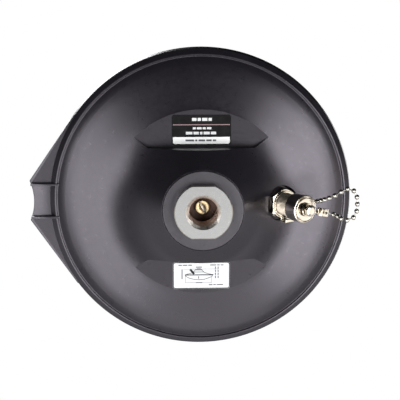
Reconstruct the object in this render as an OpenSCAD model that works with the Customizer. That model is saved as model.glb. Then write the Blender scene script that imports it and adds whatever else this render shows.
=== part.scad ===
// Survey antenna for satellite positioning, zenith up.
// The origin is the antenna reference point: the middle of the pole seat, on the insert's lower face.
// +X points to the antenna connector and -X to the north tab.

/* [Envelope] */
// Radius of the round housing
rim_r = 76; // [75:0.5:78]
// Height from the pole seat to the top of the dome
total_h = 62.2; // [61:0.2:66]
// Height of the joint between housing and radome
parting_z = 35; // [34.8:0.1:35.4]

/* [Housing] */
// Wall thickness of the moulded housing
wall = 2.5; // [2.2:0.1:2.8]
// Height of the boss face around the insert
boss_z = 4; // [3.8:0.1:4.2]
// Radius of the boss face
boss_r = 19.4; // [19:0.1:20]
// Radius where the steep flank turns into the shallow cone
knee_r = 37.5; // [37:0.1:38]
// Height of that turn
knee_z = 21.9; // [21.5:0.1:22.2]
// Height of the two flat label floors
pocket_z = 23.9; // [23.7:0.1:24]

/* [North tab] */
// Reach of the two tab corners from the axis
tab_reach = 85.3; // [84:0.1:87]
// Half of the width across the tab corners
tab_half_w = 10; // [9:0.5:11]
// Distance of each tab rib from the middle
rib_y = 8.3; // [7.5:0.1:8.6]

/* [Pole thread insert] */
// Outer diameter of the insert
insert_d = 28; // [27.8:0.1:28.2]
// Width across the two wrench flats
insert_flats = 25.8; // [25:0.1:26]
// Tapping diameter of the 5/8 inch, 11 turns per inch thread
thread_minor_d = 13.6; // [13.4:0.1:13.8]
// Depth of the bore from the pole seat to its floor
bore_depth = 15; // [14.5:0.5:16]

/* [Antenna connector] */
// Angle between the connector and the downward direction
tilt = 32; // [31:1:33]
// Distance of the connector's foot from the axis
connector_x = 38.5; // [38:0.1:39]
// Height of the connector's foot
connector_z = 23; // [22.8:0.1:23.2]
// Outer diameter of the connector thread
jack_d = 11.1; // [11.1:0.01:11.12]
// Outer diameter of the dust cap
cap_d = 13.6; // [13:0.1:14]

/* [Ball chain] */
// Ball diameter
ball_d = 2.4; // [2.4:0.1:2.5]
// Distance from ball to ball along the chain
ball_pitch = 3.4; // [3.3:0.05:3.5]

/* [Hidden] */
$fn = 96;
eps = 0.01;

// Radome
dome_wall = 2.4;
dome_r = 163.5;
shoulder_r = 7;
dome_slope = asin((rim_r - shoulder_r) / (dome_r - shoulder_r));
shoulder_z = total_h - dome_r + (dome_r - shoulder_r) * cos(dome_slope);

// Housing
insert_r = insert_d / 2;
knee_fillet = 45;
groove_r = 71.6;
bead_z = 30.9;
tab_z = 32.8;
tab_notch_r = 26;
tab_notch_depth = 2;
rib_w = 1.3;
rib_inner_r = 70.5;
pocket_y = 27.9;
pocket_half_w = 26.2;
pocket_outline = [
    [-pocket_half_w, pocket_y],
    [pocket_half_w, pocket_y],
    [33.6, 33],
    [32, 52],
    [-32, 52],
    [-33.6, 33]
];
spotface_d = 19;
plate_screw_r = 60;

// Insert and what stands on it
insert_top = 18;
insert_flange_r = 17;
chamfer_d = 16.84;
chamfer_h = (chamfer_d - thread_minor_d) / 2 * tan(30);
relief_z = 12.3;
relief_r = 8.2;
screw_r = 2;
screw_head_r = 3.5;
screw_head_h = 2.5;
slot_turn = -28;

// Inside
plate_z = 35.6;
plate_t = 1.5;
plate_r = 70;
substrate_t = 6.4;
patch_t = 0.3;
lower_z = plate_z + plate_t;
upper_z = lower_z + substrate_t + patch_t;
stack_z = upper_z + substrate_t + patch_t;
board_z = 29;
board_t = 1.6;
board_x = [-34, 22];
board_half_w = 28;
board_hole = [[-30, -24], [-30, 24], [18, -24], [18, 24]];
lower_feed_r = 20;
upper_feed_r = 12;
feed_r = 0.5;
jumper_d = 2.2;
jumper_route = [
    [33.386, 0, 31.184], [32.8, 0.05, 32.12], [31.3, 0.8, 33.2], [28.6, 2.8, 33.8],
    [25.6, 5.6, 33.7], [23, 8.4, 33], [20.9, 10.3, 32.1], [17.9, 10.8, 31.75]
];

// Stations along the connector's axis, counted outward from the housing's spot face
jack_r = jack_d / 2;
insulator_r = 2.4;
contact_r = 0.9;
nut_h = 4.4;
nut_chamfer = 0.5;
lug_t = 0.8;
tail_w = 5;
tail_y = 8.3;
tail_end = 8.7;
cap_start = 12.4;
cap_end = 20.2;
cap_face = 20.8;
hub_r = 5.7;
recess_r = 2.6;
recess_start = 19.4;
cavity_start = 8.7;
jack_end = 15.9;
gasket_start = 16;
cap_floor = 17.2;
ring_start = 21.6;
ring_end = 22.4;
rivet_r = 2.75;
post_r = 1.4;
rivet_shoulder = 23.2;
rivet_end = 25.2;
rivet_chamfer = 0.4;
eyelet_turn = 13;

// The chain's course: out of the lug, along the side of the cap, down to the standing plane,
// round in one loose loop, and up to the eyelet on the cap.
chain_route = [
    [42.31, 6.95, 17.36], [45.4, 6.2, 18.2], [48.4, 4.3, 19.2], [51, 1.8, 19.2],
    [53.2, -0.4, 17.6], [54.9, -1.9, 14.9], [56.3, -2.9, 11.6], [57.5, -3.9, 8.2],
    [59.1, -5.2, 4.9], [61.1, -6.6, 2.4], [63.4, -8, 1.3], [65.8, -9.5, 1.25], [68.3, -10.7, 1.25],
    [70.5, -10.6, 1.25], [72.2, -9, 1.25], [73.3, -6.3, 1.25], [73.5, -3.1, 1.25],
    [73.2, 0.3, 1.25], [72, 2.9, 1.25], [69.8, 4.3, 1.25], [67.4, 4.5, 1.9], [65.8, 4.1, 4],
    [65, 3.8, 6.6], [63.8, 3.5, 9.2], [61.4, 3.1, 10.7], [58.9, 2.5, 10.3], [57.6, 2.02, 8.99]
];

// Points of a corner turned into an arc: c is [x, y, fillet radius], a and b its neighbours
function corner(a, c, b) =
    let (
        u = [a[0] - c[0], a[1] - c[1]] / norm([a[0] - c[0], a[1] - c[1]]),
        v = [b[0] - c[0], b[1] - c[1]] / norm([b[0] - c[0], b[1] - c[1]]),
        half = acos(max(-1, min(1, u * v))) / 2,
        m = (u + v) / norm(u + v),
        o = [c[0], c[1]] + m * c[2] / sin(half),
        t0 = [c[0], c[1]] + u * c[2] / tan(half) - o,
        a0 = atan2(t0[1], t0[0]),
        t1 = [c[0], c[1]] + v * c[2] / tan(half) - o,
        sweep = (atan2(t1[1], t1[0]) - a0 + 540) % 360 - 180,
        steps = max(1, ceil(abs(sweep) / 9))
    )
    c[2] == 0
        ? [[c[0], c[1]]]
        : [for (i = [0:steps]) o + c[2] * [cos(a0 + sweep * i / steps), sin(a0 + sweep * i / steps)]];

// An outline whose corners are rounded by their own third numbers
function rounded(points) =
    let (n = len(points))
    [for (i = [0:n - 1]) each corner(points[(i + n - 1) % n], points[i], points[(i + 1) % n])];

// Smooth curve through points a, b, c and d, from b to c
function smooth(a, b, c, d, t) =
    let (
        slope = c - a,
        pull = 2 * a - 5 * b + 4 * c - d,
        twist = 3 * b - a - 3 * c + d
    )
    (2 * b + slope * t + pull * t * t + twist * t * t * t) / 2;

// The whole curve through a route, in short steps
function curve(route, steps) =
    let (n = len(route) - 1)
    [
        for (i = [0:n - 1], k = [0:steps - 1])
            smooth(
                route[max(0, i - 1)],
                route[i],
                route[i + 1],
                route[min(n, i + 2)],
                k / steps
            ),
        route[n]
    ];

// Length of the step that leaves point i of a line
function step_from(line, i) = i + 1 < len(line) ? norm(line[i + 1] - line[i]) : 0;

// Length run up to each point of a line
function run(line) = [
    for (i = 0, s = 0; i < len(line); s = s + step_from(line, i), i = i + 1) s
];

// The point at length s along a line
function at(line, lengths, s) =
    [for (k = [0:2]) lookup(s, [for (i = [0:len(line) - 1]) [lengths[i], line[i][k]]])];

chain_line = curve(chain_route, 8);
chain_runs = run(chain_line);
chain_length = chain_runs[len(chain_runs) - 1];
ball_count = floor(chain_length / ball_pitch) + 1;
ball_step = chain_length / (ball_count - 1);
balls = [for (i = [0:ball_count - 1]) at(chain_line, chain_runs, i * ball_step)];
ball_bore_r = 0.7;
link_r = 0.25;
head_r = 0.4;
head_h = 0.3;
head_start = 0.3;

// Turns the z axis to point along v
module along(v) {
    rotate([0, acos(v[2] / norm(v)), atan2(v[1], v[0])]) children();
}

// Puts the z axis on the connector's axis, pointing out of the housing
module on_connector() {
    translate([connector_x, 0, connector_z]) rotate([0, 180 - tilt, 0]) children();
}

module ring(outer, inner, from, to) {
    translate([0, 0, from]) difference() {
        cylinder(r = outer, h = to - from);
        translate([0, 0, -1]) cylinder(r = inner, h = to - from + 2);
    }
}

module radome_outline(inset) {
    difference() {
        union() {
            intersection() {
                translate([0, total_h - dome_r]) circle(r = dome_r - inset, $fn = 360);
                translate([0, shoulder_z - 5]) square([(rim_r - shoulder_r) * 2, total_h]);
                polygon([
                    [0, shoulder_z - 5],
                    [rim_r - shoulder_r, shoulder_z - 5],
                    [rim_r - shoulder_r, shoulder_z],
                    [rim_r - shoulder_r + 60 * sin(dome_slope), shoulder_z + 60 * cos(dome_slope)],
                    [0, total_h + 60]
                ]);
            }
            translate([rim_r - shoulder_r, shoulder_z]) circle(r = shoulder_r - inset);
            translate([0, parting_z]) square([rim_r - inset, shoulder_z - parting_z]);
        }
        translate([-rim_r, 0]) square([rim_r, 2 * total_h]);
        translate([-rim_r, 0]) square([3 * rim_r, parting_z]);
    }
}

module radome() {
    color("ivory") rotate_extrude($fn = 180) difference() {
        radome_outline(0);
        translate([-1, -1]) intersection() {
            translate([1, 1]) radome_outline(dome_wall);
            square([rim_r + 1, total_h + 1]);
        }
    }
}

module rim_seal() {
    color("dimgray") ring(75, 73.5, parting_z - 1.2, parting_z);
}

// Outer surface of the housing, from the boss to the rim
housing_outer = [
    [boss_r, boss_z, 1.2],
    [knee_r, knee_z, knee_fillet],
    [64.5, 28.45, 60],
    [69.5, 30.3, 25],
    [groove_r, 31.5, 0.5],
    [72.15, bead_z, 0.25],
    [72.75, bead_z + 0.05, 0.35],
    [75.3, 32.8, 1.8],
    [rim_r, parting_z, 0]
];

// Inner surface, from the rim back to the boss
inner_knee_r = 36.2;
inner_knee_z = 24.2;
housing_inner = [
    [71.6, parting_z, 0],
    [71.6, 34, 0],
    [67.4, 31.7, 0],
    [inner_knee_r, inner_knee_z, knee_fillet + wall],
    [19, boss_z + 3, 0.5]
];

module housing_blank() {
    rotate_extrude($fn = 180)
        polygon(rounded(concat([[0, boss_z, 0]], housing_outer, [[0, parting_z, 0]])));
}

module pocket_prism(grow, from, to) {
    translate([0, 0, from]) linear_extrude(to - from) polygon([
        for (p = pocket_outline) [p[0] + sign(p[0]) * grow, p[1] - (p[1] < 40 ? grow : 0)]
    ]);
}

module bottom_housing() {
    color("#3c3a40") difference() {
        union() {
            rotate_extrude($fn = 180)
                polygon(rounded(concat([[insert_r, boss_z, 0]], housing_outer, housing_inner,
                    [[insert_r, boss_z + 3, 0]])));
            // thicker ground behind the label floors and the connector
            intersection() {
                housing_blank();
                union() {
                    for (side = [0, 1]) mirror([0, side, 0]) difference() {
                        pocket_prism(2, 12, pocket_z + 2);
                        translate([-40, 46, 0]) cube([80, 40, 40]);
                    }
                    on_connector() cylinder(r = spotface_d / 2 + 2, h = 30, center = true);
                }
            }
            // north tab, tangent to the rim
            translate([0, 0, tab_z]) linear_extrude(parting_z - tab_z) difference() {
                polygon([
                    [-tab_reach, -tab_half_w],
                    [-tab_reach, tab_half_w],
                    [-62.4, 43.2],
                    [-60.5, 42],
                    [-72.5, 0],
                    [-60.5, -42],
                    [-62.4, -43.2]
                ]);
                translate([-tab_reach + tab_notch_depth - tab_notch_r, 0]) circle(r = tab_notch_r);
            }
            for (side = [-1, 1])
                translate([-84.9, side * rib_y - rib_w / 2, bead_z - 0.2])
                    cube([84.9 - rib_inner_r, rib_w, tab_z - bead_z + 0.7]);
            // bosses under the ground plane's screws
            for (turn = [45:90:315]) rotate(turn)
                translate([plate_screw_r, 0, 29.4]) cylinder(r = 3.6, h = plate_z - 29.4);
        }
        for (side = [0, 1]) mirror([0, side, 0]) pocket_prism(0, -1, pocket_z);
        on_connector() cylinder(d = spotface_d, h = 40);
        on_connector() translate([0, 0, -wall]) cylinder(r = jack_r + 0.1, h = wall + 1);
        on_connector() translate([0, 0, -20 - wall]) cylinder(r = spotface_d / 2 + 2.2, h = 20);
        for (turn = [45:90:315]) rotate(turn)
            translate([plate_screw_r, 0, 30]) cylinder(r = 1.5, h = 10);
        ring(75, 73.5, parting_z - 1.2, parting_z + 1);
    }
}

module mount_insert() {
    color("#c9c7c3") difference() {
        union() {
            intersection() {
                cylinder(r = insert_r, h = boss_z);
                translate([-20, -insert_flats / 2, 0]) cube([40, insert_flats, boss_z]);
            }
            translate([0, 0, boss_z]) cylinder(r = insert_r, h = 3);
            translate([0, 0, boss_z + 3]) cylinder(r = insert_flange_r, h = 2.5);
            translate([0, 0, boss_z + 5.5]) cylinder(r = 12, h = insert_top - boss_z - 5.5);
        }
        translate([0, 0, -1]) cylinder(d = thread_minor_d, h = relief_z + 2);
        // clearance past the end of the thread, which holds the screw's head
        translate([0, 0, relief_z]) cylinder(r = relief_r, h = bore_depth - relief_z);
        translate([0, 0, -eps]) cylinder(d1 = chamfer_d, d2 = thread_minor_d, h = chamfer_h);
        cylinder(r = screw_r, h = 30);
    }
}

module centre_screw() {
    color("#b79a5a") difference() {
        union() {
            translate([0, 0, bore_depth - screw_head_h]) cylinder(r = screw_head_r, h = screw_head_h);
            translate([0, 0, bore_depth]) cylinder(r = screw_r, h = 11);
        }
        rotate(slot_turn) translate([-0.6, -5, bore_depth - screw_head_h - 1]) cube([1.2, 10, 2.2]);
    }
}

module centre_post() {
    color("silver") difference() {
        translate([0, 0, insert_top]) cylinder(r = 4.5, h = plate_z - insert_top);
        translate([0, 0, insert_top - 1]) cylinder(r = screw_r, h = 10);
        translate([0, 0, plate_z - 8]) cylinder(r = screw_r, h = 9);
    }
}

module label_plate(length, width, y) {
    translate([0, y, pocket_z - 0.2]) linear_extrude(0.2)
        polygon(rounded([
            [-length / 2, -width / 2, 1.2],
            [length / 2, -width / 2, 1.2],
            [length / 2, width / 2, 1.2],
            [-length / 2, width / 2, 1.2]
        ]));
}

module type_label() {
    color("#151515") label_plate(28.9, 14.8, -36.3);
}

module drawing_label() {
    color("white") label_plate(28.6, 13.8, 37.2);
}

module ground_plane() {
    color("lightgray") difference() {
        translate([0, 0, plate_z]) cylinder(r = plate_r, h = plate_t);
        translate([0, 0, plate_z - 1]) cylinder(r = screw_r, h = 5);
        for (turn = [45:90:315]) rotate(turn)
            translate([plate_screw_r, 0, plate_z - 1]) cylinder(r = 1.7, h = 5);
        for (p = board_hole) translate([p[0], p[1], plate_z - 1]) cylinder(r = 1.3, h = 5);
        for (turn = [0:90:270], r = [lower_feed_r, upper_feed_r]) rotate(turn)
            translate([r, 0, plate_z - 1]) cylinder(r = 1.6, h = 5);
    }
}

module plate_screws() {
    color("silver") for (turn = [45:90:315]) rotate(turn) translate([plate_screw_r, 0, 0]) {
        translate([0, 0, lower_z]) cylinder(r = 2.8, h = 2);
        translate([0, 0, 30.6]) cylinder(r = 1.5, h = lower_z - 30.6 + eps);
    }
}

module substrate(radius, from) {
    difference() {
        translate([0, 0, from]) cylinder(r = radius, h = substrate_t);
        translate([0, 0, from - 1]) cylinder(r = screw_r, h = substrate_t + 2);
        for (turn = [0:90:270], r = [lower_feed_r, upper_feed_r]) rotate(turn)
            translate([r, 0, from - 1]) cylinder(r = feed_r, h = substrate_t + 2);
        for (p = board_hole) if (radius > 40)
            translate([p[0], p[1], from - 1]) cylinder(r = 3, h = 3);
    }
}

module patch(radius, from) {
    difference() {
        translate([0, 0, from]) cylinder(r = radius, h = patch_t);
        translate([0, 0, from - 1]) cylinder(r = screw_r, h = 3);
        for (turn = [0:90:270], r = [lower_feed_r, upper_feed_r]) rotate(turn)
            translate([r, 0, from - 1]) cylinder(r = feed_r, h = 3);
    }
}

module lower_substrate() {
    color("#e8e2cf") substrate(48, lower_z);
}

module lower_patch() {
    color("#b87333") patch(40, lower_z + substrate_t);
}

module upper_substrate() {
    color("#e8e2cf") substrate(33, upper_z);
}

module upper_patch() {
    color("#b87333") patch(26, upper_z + substrate_t);
}

module stack_screw() {
    color("#f4f1e6") {
        translate([0, 0, stack_z]) cylinder(r = 4, h = 2);
        translate([0, 0, plate_z - 7]) cylinder(r = screw_r, h = stack_z - plate_z + 7 + eps);
    }
}

module feed_pins() {
    pin_start = board_z + board_t;
    color("#d9c27a") for (turn = [0:90:270]) rotate(turn) {
        translate([lower_feed_r, 0, pin_start]) cylinder(r = feed_r, h = upper_z - pin_start);
        translate([upper_feed_r, 0, pin_start]) cylinder(r = feed_r, h = stack_z - pin_start);
    }
}

module amplifier_board() {
    color("#1f6b3a") difference() {
        translate([board_x[0], -board_half_w, board_z])
            cube([board_x[1] - board_x[0], 2 * board_half_w, board_t]);
        translate([0, 0, board_z - 1]) cylinder(r = 5, h = 4);
        for (p = board_hole) translate([p[0], p[1], board_z - 1]) cylinder(r = 1.3, h = 4);
    }
}

module shield_can() {
    color("gainsboro") difference() {
        translate([-31, -14, board_z - 3.6]) cube([24, 28, 3.6]);
        translate([-30.6, -13.6, board_z - 3.2]) cube([23.2, 27.2, 4]);
    }
}

module board_parts() {
    color("#26262a") {
        for (y = [-14, -6, 4, 12]) translate([9, y, board_z - 1.2]) cube([4, 3, 1.2]);
        for (y = [-16, 0, 14]) translate([-26, y - 1.5, board_z + board_t]) cube([5, 3, 1.4]);
        translate([14.4, 9.2, board_z + board_t]) cube([3.2, 3.2, 2.2]);
    }
}

module board_spacers() {
    color("silver") for (p = board_hole) translate([p[0], p[1], 0])
        ring(2.4, 1.25, board_z + board_t, plate_z);
}

module board_screws() {
    color("silver") for (p = board_hole) translate([p[0], p[1], 0]) {
        translate([0, 0, board_z - 1.8]) cylinder(r = 2.3, h = 1.8);
        translate([0, 0, board_z - eps]) cylinder(r = 1.25, h = plate_z + 1 - board_z);
    }
}

// Round cord swept along a line of points, as one closed polyhedron
module cord(line, diameter, sides) {
    n = len(line);
    rings = [
        for (i = [0:n - 1])
            let (
                dir = line[min(n - 1, i + 1)] - line[max(0, i - 1)],
                w = dir / norm(dir),
                side = cross(w, [0.1, 1, 0.2]),
                u = side / norm(side),
                v = cross(w, u)
            )
            for (k = [0:sides - 1])
                line[i] + diameter / 2 * (cos(360 * k / sides) * u + sin(360 * k / sides) * v)
    ];
    polyhedron(rings, concat(
        [[for (k = [0:sides - 1]) k]],
        [
            for (i = [0:n - 2], k = [0:sides - 1]) [
                i * sides + k,
                (i + 1) * sides + k,
                (i + 1) * sides + (k + 1) % sides,
                i * sides + (k + 1) % sides
            ]
        ],
        [[for (k = [sides - 1:-1:0]) (n - 1) * sides + k]]
    ));
}

module coax_jumper() {
    color("#8a5a2b") cord(curve(jumper_route, 2), jumper_d, 8);
}

module jack_body() {
    color("#d8d4cc") on_connector() difference() {
        union() {
            translate([0, 0, -wall - 2]) cylinder(d = 15, h = 2);
            translate([0, 0, -wall - 6]) cylinder(r = 4, h = 5);
            translate([0, 0, -wall]) cylinder(r = jack_r, h = jack_end + wall);
        }
        translate([0, 0, cavity_start]) cylinder(r = 4.1, h = 20);
        translate([0, 0, -wall - 7]) cylinder(r = insulator_r, h = 20);
        ring(7, 6.1, -wall - 0.9, -wall + 1);
    }
}

module jack_insulator() {
    color("#f3f1ec") on_connector() ring(insulator_r, contact_r, -wall - 6, jack_end - 1.2);
}

module jack_contact() {
    color("#d4af37") on_connector() difference() {
        translate([0, 0, -wall - 7]) cylinder(r = contact_r, h = wall + 7 + jack_end - 2.2);
        translate([0, 0, cavity_start + 1]) cylinder(r = 0.55, h = 10);
    }
}

module jack_seal() {
    color("#202020") on_connector() ring(7, 6.1, -wall - 0.9, -wall);
}

module jack_nut() {
    color("#cfcbc3") on_connector() difference() {
        intersection() {
            rotate(30) cylinder(d = 14 / cos(30), h = nut_h, $fn = 6);
            union() {
                cylinder(r1 = 7.4, r2 = 8.2, h = nut_chamfer);
                translate([0, 0, nut_chamfer]) cylinder(r = 8.2, h = nut_h - 2 * nut_chamfer);
                translate([0, 0, nut_h - nut_chamfer]) cylinder(r1 = 8.2, r2 = 7.4, h = nut_chamfer);
            }
        }
        translate([0, 0, -1]) cylinder(r = jack_r, h = nut_h + 2);
    }
}

module chain_lug() {
    color("#d8d4cc") on_connector() difference() {
        union() {
            translate([0, 0, nut_h]) cylinder(r = 7.7, h = lug_t);
            translate([-tail_w / 2, 0, nut_h]) cube([tail_w, tail_y + lug_t, lug_t]);
            translate([-tail_w / 2, tail_y, nut_h]) cube([tail_w, lug_t, tail_end - nut_h]);
            translate([-tail_w / 2, tail_y - 1.4, tail_end - 0.6]) cube([tail_w, 1.4 + lug_t, 0.6]);
        }
        translate([0, 0, nut_h - 1]) cylinder(r = jack_r, h = lug_t + 2);
    }
}

module dust_cap() {
    color("#c4beb4") on_connector() difference() {
        union() {
            translate([0, 0, cap_start]) cylinder(d = cap_d, h = cap_end - cap_start);
            translate([0, 0, cap_start]) cylinder(r = hub_r, h = cap_face - cap_start);
        }
        translate([0, 0, cap_start - 1]) cylinder(r = jack_r + 0.05, h = cap_floor - cap_start + 1);
        ring(hub_r + 0.5, hub_r, cap_end - 0.7, cap_end + 1);
        translate([0, 0, recess_start]) cylinder(r = recess_r, h = 5);
        translate([0, 0, cap_floor - 1]) cylinder(r = post_r, h = 6);
    }
}

module cap_gasket() {
    color("#2a2a2a") on_connector() ring(jack_r, 2.8, gasket_start, cap_floor);
}

module cap_rivet() {
    color("#e0dcd2") on_connector() {
        translate([0, 0, cap_floor - 0.6]) cylinder(r = 2.4, h = 0.6);
        translate([0, 0, cap_floor - 0.3])
            cylinder(r = post_r, h = rivet_shoulder - cap_floor + 0.3 + eps);
        translate([0, 0, rivet_shoulder])
            cylinder(r = rivet_r, h = rivet_end - rivet_shoulder - rivet_chamfer);
        translate([0, 0, rivet_end - rivet_chamfer])
            cylinder(r1 = rivet_r, r2 = rivet_r - rivet_chamfer, h = rivet_chamfer);
    }
}

module chain_eyelet() {
    color("#e0dcd2") on_connector() rotate(180 - eyelet_turn) difference() {
        union() {
            translate([0, 0, ring_start]) cylinder(r = 3.3, h = ring_end - ring_start);
            translate([2, -1.3, ring_start]) cube([5.6, 2.6, ring_end - ring_start]);
            translate([7.2, -1.9, ring_start - 1.4]) cube([4.8, 3.8, 3.6]);
        }
        translate([0, 0, ring_start - 1]) cylinder(r = post_r + 0.2, h = 3);
        translate([9, 0, ring_start + 0.4]) sphere(d = ball_d + 0.3, $fn = 32);
        translate([9, 0, ring_start + 0.4]) rotate([0, 90, 0]) cylinder(d = ball_d + 0.3, h = 5);
    }
}

// Each ball is bored through along the chain for the heads of its two links.
module chain_balls() {
    last = ball_count - 1;
    color("#ded9cf") for (i = [0:last]) translate(balls[i])
        along(balls[min(i + 1, last)] - balls[max(i - 1, 0)]) difference() {
            sphere(d = ball_d, $fn = 32);
            translate([0, 0, -ball_d]) cylinder(r = ball_bore_r, h = 2 * ball_d, $fn = 24);
        }
}

module chain_links() {
    color("#b9b2a4") for (i = [0:ball_count - 2])
        translate(balls[i]) along(balls[i + 1] - balls[i]) {
            translate([0, 0, head_start]) cylinder(r = link_r, h = ball_step - 2 * head_start, $fn = 24);
            for (z = [head_start, ball_step - head_start - head_h])
                translate([0, 0, z]) cylinder(r = head_r, h = head_h, $fn = 24);
        }
}

radome();
rim_seal();
bottom_housing();
mount_insert();
centre_screw();
centre_post();
type_label();
drawing_label();
ground_plane();
plate_screws();
lower_substrate();
lower_patch();
upper_substrate();
upper_patch();
stack_screw();
feed_pins();
amplifier_board();
shield_can();
board_parts();
board_spacers();
board_screws();
coax_jumper();
jack_body();
jack_insulator();
jack_contact();
jack_seal();
jack_nut();
chain_lug();
dust_cap();
cap_gasket();
cap_rivet();
chain_eyelet();
chain_balls();
chain_links();
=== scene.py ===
import math

import bmesh
import bpy
from mathutils import Matrix, Vector


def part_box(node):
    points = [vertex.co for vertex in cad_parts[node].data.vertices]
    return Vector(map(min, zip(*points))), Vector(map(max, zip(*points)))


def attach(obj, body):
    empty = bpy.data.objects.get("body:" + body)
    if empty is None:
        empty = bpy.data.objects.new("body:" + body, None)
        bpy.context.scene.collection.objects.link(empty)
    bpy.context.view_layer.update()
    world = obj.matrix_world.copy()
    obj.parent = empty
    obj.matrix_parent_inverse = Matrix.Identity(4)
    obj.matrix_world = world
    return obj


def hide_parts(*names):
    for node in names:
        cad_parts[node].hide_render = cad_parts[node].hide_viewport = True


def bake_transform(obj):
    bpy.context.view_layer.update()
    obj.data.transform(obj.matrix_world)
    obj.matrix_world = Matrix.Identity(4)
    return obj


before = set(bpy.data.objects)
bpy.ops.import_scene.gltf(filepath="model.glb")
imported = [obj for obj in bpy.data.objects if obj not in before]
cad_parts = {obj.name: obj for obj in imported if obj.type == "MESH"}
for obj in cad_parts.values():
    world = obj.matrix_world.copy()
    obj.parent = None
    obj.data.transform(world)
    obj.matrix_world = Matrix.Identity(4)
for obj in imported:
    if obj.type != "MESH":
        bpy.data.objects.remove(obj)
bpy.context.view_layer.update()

# The script's own unit is the millimetre; meshes are scaled to metres as they are made.
MM = 0.001
ROOT, SWIVEL, CAP = "antenna", "swivel", "cap"

# Sizes in millimetres. The spot face and the washer are a little smaller than in the CAD model,
# and the dome stands in from the rim by a step that the CAD model doesn't have.
RIM_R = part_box("radome")[1].x / MM
TOTAL_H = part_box("radome")[1].z / MM
PARTING_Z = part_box("rim_seal")[1].z / MM
BOSS_Z, BOSS_R = 4, 19.4
GROOVE_R, CAVITY_R = 71.6, 71.6
KNEE_R, KNEE_Z = 37.5, 21.9
POCKET_Z = 23.9
TAB_REACH, TAB_HALF_W, TAB_Z, TAB_NOTCH_R = 85.3, 10, 32.8, 26
RIB_Y, RIB_W, RIB_INNER_R, BEAD_Z = 8.3, 1.3, 70.5, 30.9
INSERT_R, INSERT_FLATS = 14, 25.8
POLE_MINOR_R, POLE_MAJOR_R, POLE_PITCH, POLE_DEPTH = 6.8, 7.94, 25.4 / 11, 15
RELIEF_Z, RELIEF_R = 12.3, 8.2
TILT = 32
CONNECTOR_FOOT = (38.5, 0, 23)
JACK_R, JACK_PITCH, JACK_END = 5.55, 25.4 / 28, 15.9
NUT_H = 4.4
CAP_R = 6.8
SPOTFACE_R = 8.9
WASHER_R = 6.6
DOME_STEP = 0.9
BALL_D = 2.4
EYELET_TURN = 13

# The chain's course in two runs: from the lug past the cap and along the standing plane, and
# from there up to the eyelet on the cap.
LUG_RUN = [
    (42.31, 6.95, 17.36), (45.4, 6.2, 18.2), (48.4, 4.3, 19.2), (51, 1.8, 19.2), (53.2, -0.4, 17.6),
    (54.9, -1.9, 14.9), (56.3, -2.9, 11.6), (57.5, -3.9, 8.2), (59.1, -5.2, 4.9), (61.1, -6.6, 2.4),
    (63.4, -8, 1.3), (65.8, -9.5, 1.25), (68.3, -10.7, 1.25), (70.5, -10.6, 1.25),
]
CAP_RUN = [
    (72.2, -9, 1.25), (73.3, -6.3, 1.25), (73.5, -3.1, 1.25), (73.2, 0.3, 1.25), (72, 2.9, 1.25),
    (69.8, 4.3, 1.25), (67.4, 4.5, 1.9), (65.8, 4.1, 4), (65, 3.8, 6.6), (63.8, 3.5, 9.2),
    (61.4, 3.1, 10.7), (58.9, 2.5, 10.3), (57.6, 2.02, 8.99),
]
# The balls stand at least this far apart
BALL_PITCH = 3.4

# The camera: under the antenna, a little towards -Y and -X of the pole's axis
CAMERA_TARGET = Vector((-0.3, 0.5, 33))
CAMERA_DIRECTION = Vector((0.042, 0.2, 0.979)).normalized()
CAMERA_DISTANCE = 550
CAMERA_LENS = 98.4


# ---- outlines and meshes


def rounded(outline, step=6):
    """A closed outline of (x, y, fillet radius) corners as points, its arcs in steps of degrees."""
    points = []
    count = len(outline)
    for i, (x, y, radius) in enumerate(outline):
        here = Vector((x, y))
        if not radius:
            points.append((x, y))
            continue
        a = (Vector(outline[i - 1][:2]) - here).normalized()
        b = (Vector(outline[(i + 1) % count][:2]) - here).normalized()
        half = a.angle(b) / 2
        centre = here + (a + b).normalized() * radius / math.sin(half)
        start = here + a * radius / math.tan(half) - centre
        end = here + b * radius / math.tan(half) - centre
        first = math.atan2(start.y, start.x)
        sweep = (math.atan2(end.y, end.x) - first + 3 * math.pi) % (2 * math.pi) - math.pi
        steps = max(2, math.ceil(math.degrees(abs(sweep)) / step))
        for k in range(steps + 1):
            turn = first + sweep * k / steps
            points.append(tuple(centre + radius * Vector((math.cos(turn), math.sin(turn)))))
    return points


def angles(count):
    return [2 * math.pi * k / count for k in range(count)]


def circle(radius, z, turns):
    return [(radius * math.cos(t), radius * math.sin(t), z) for t in turns]


def make_object(name, verts, faces, matrix=None, sharp=32):
    """A mesh object from points in millimetres, smooth except at edges sharper than the given angle."""
    mesh = bpy.data.meshes.new(name)
    mesh.from_pydata([Vector(v) * MM for v in verts], [], faces)
    bm = bmesh.new()
    bm.from_mesh(mesh)
    bmesh.ops.remove_doubles(bm, verts=bm.verts, dist=2e-6)
    bmesh.ops.dissolve_degenerate(bm, edges=bm.edges, dist=1e-7)
    bmesh.ops.recalc_face_normals(bm, faces=bm.faces)
    bm.to_mesh(mesh)
    bm.free()
    if matrix is not None:
        mesh.transform(matrix)
    smooth(mesh, sharp)
    obj = bpy.data.objects.new(name, mesh)
    bpy.context.scene.collection.objects.link(obj)
    return obj


def smooth(mesh, sharp=32):
    mesh.shade_smooth()
    mesh.set_sharp_from_angle(angle=math.radians(sharp))


def bridge(rings, closed=False):
    """Points and faces between rings of the same count; closed joins the last ring to the first."""
    count = len(rings[0])
    verts = [p for ring in rings for p in ring]
    faces = []
    for j in range(len(rings) if closed else len(rings) - 1):
        low, high = j * count, (j + 1) % len(rings) * count
        for k in range(count):
            n = (k + 1) % count
            faces.append((low + k, low + n, high + n, high + k))
    return verts, faces


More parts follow.
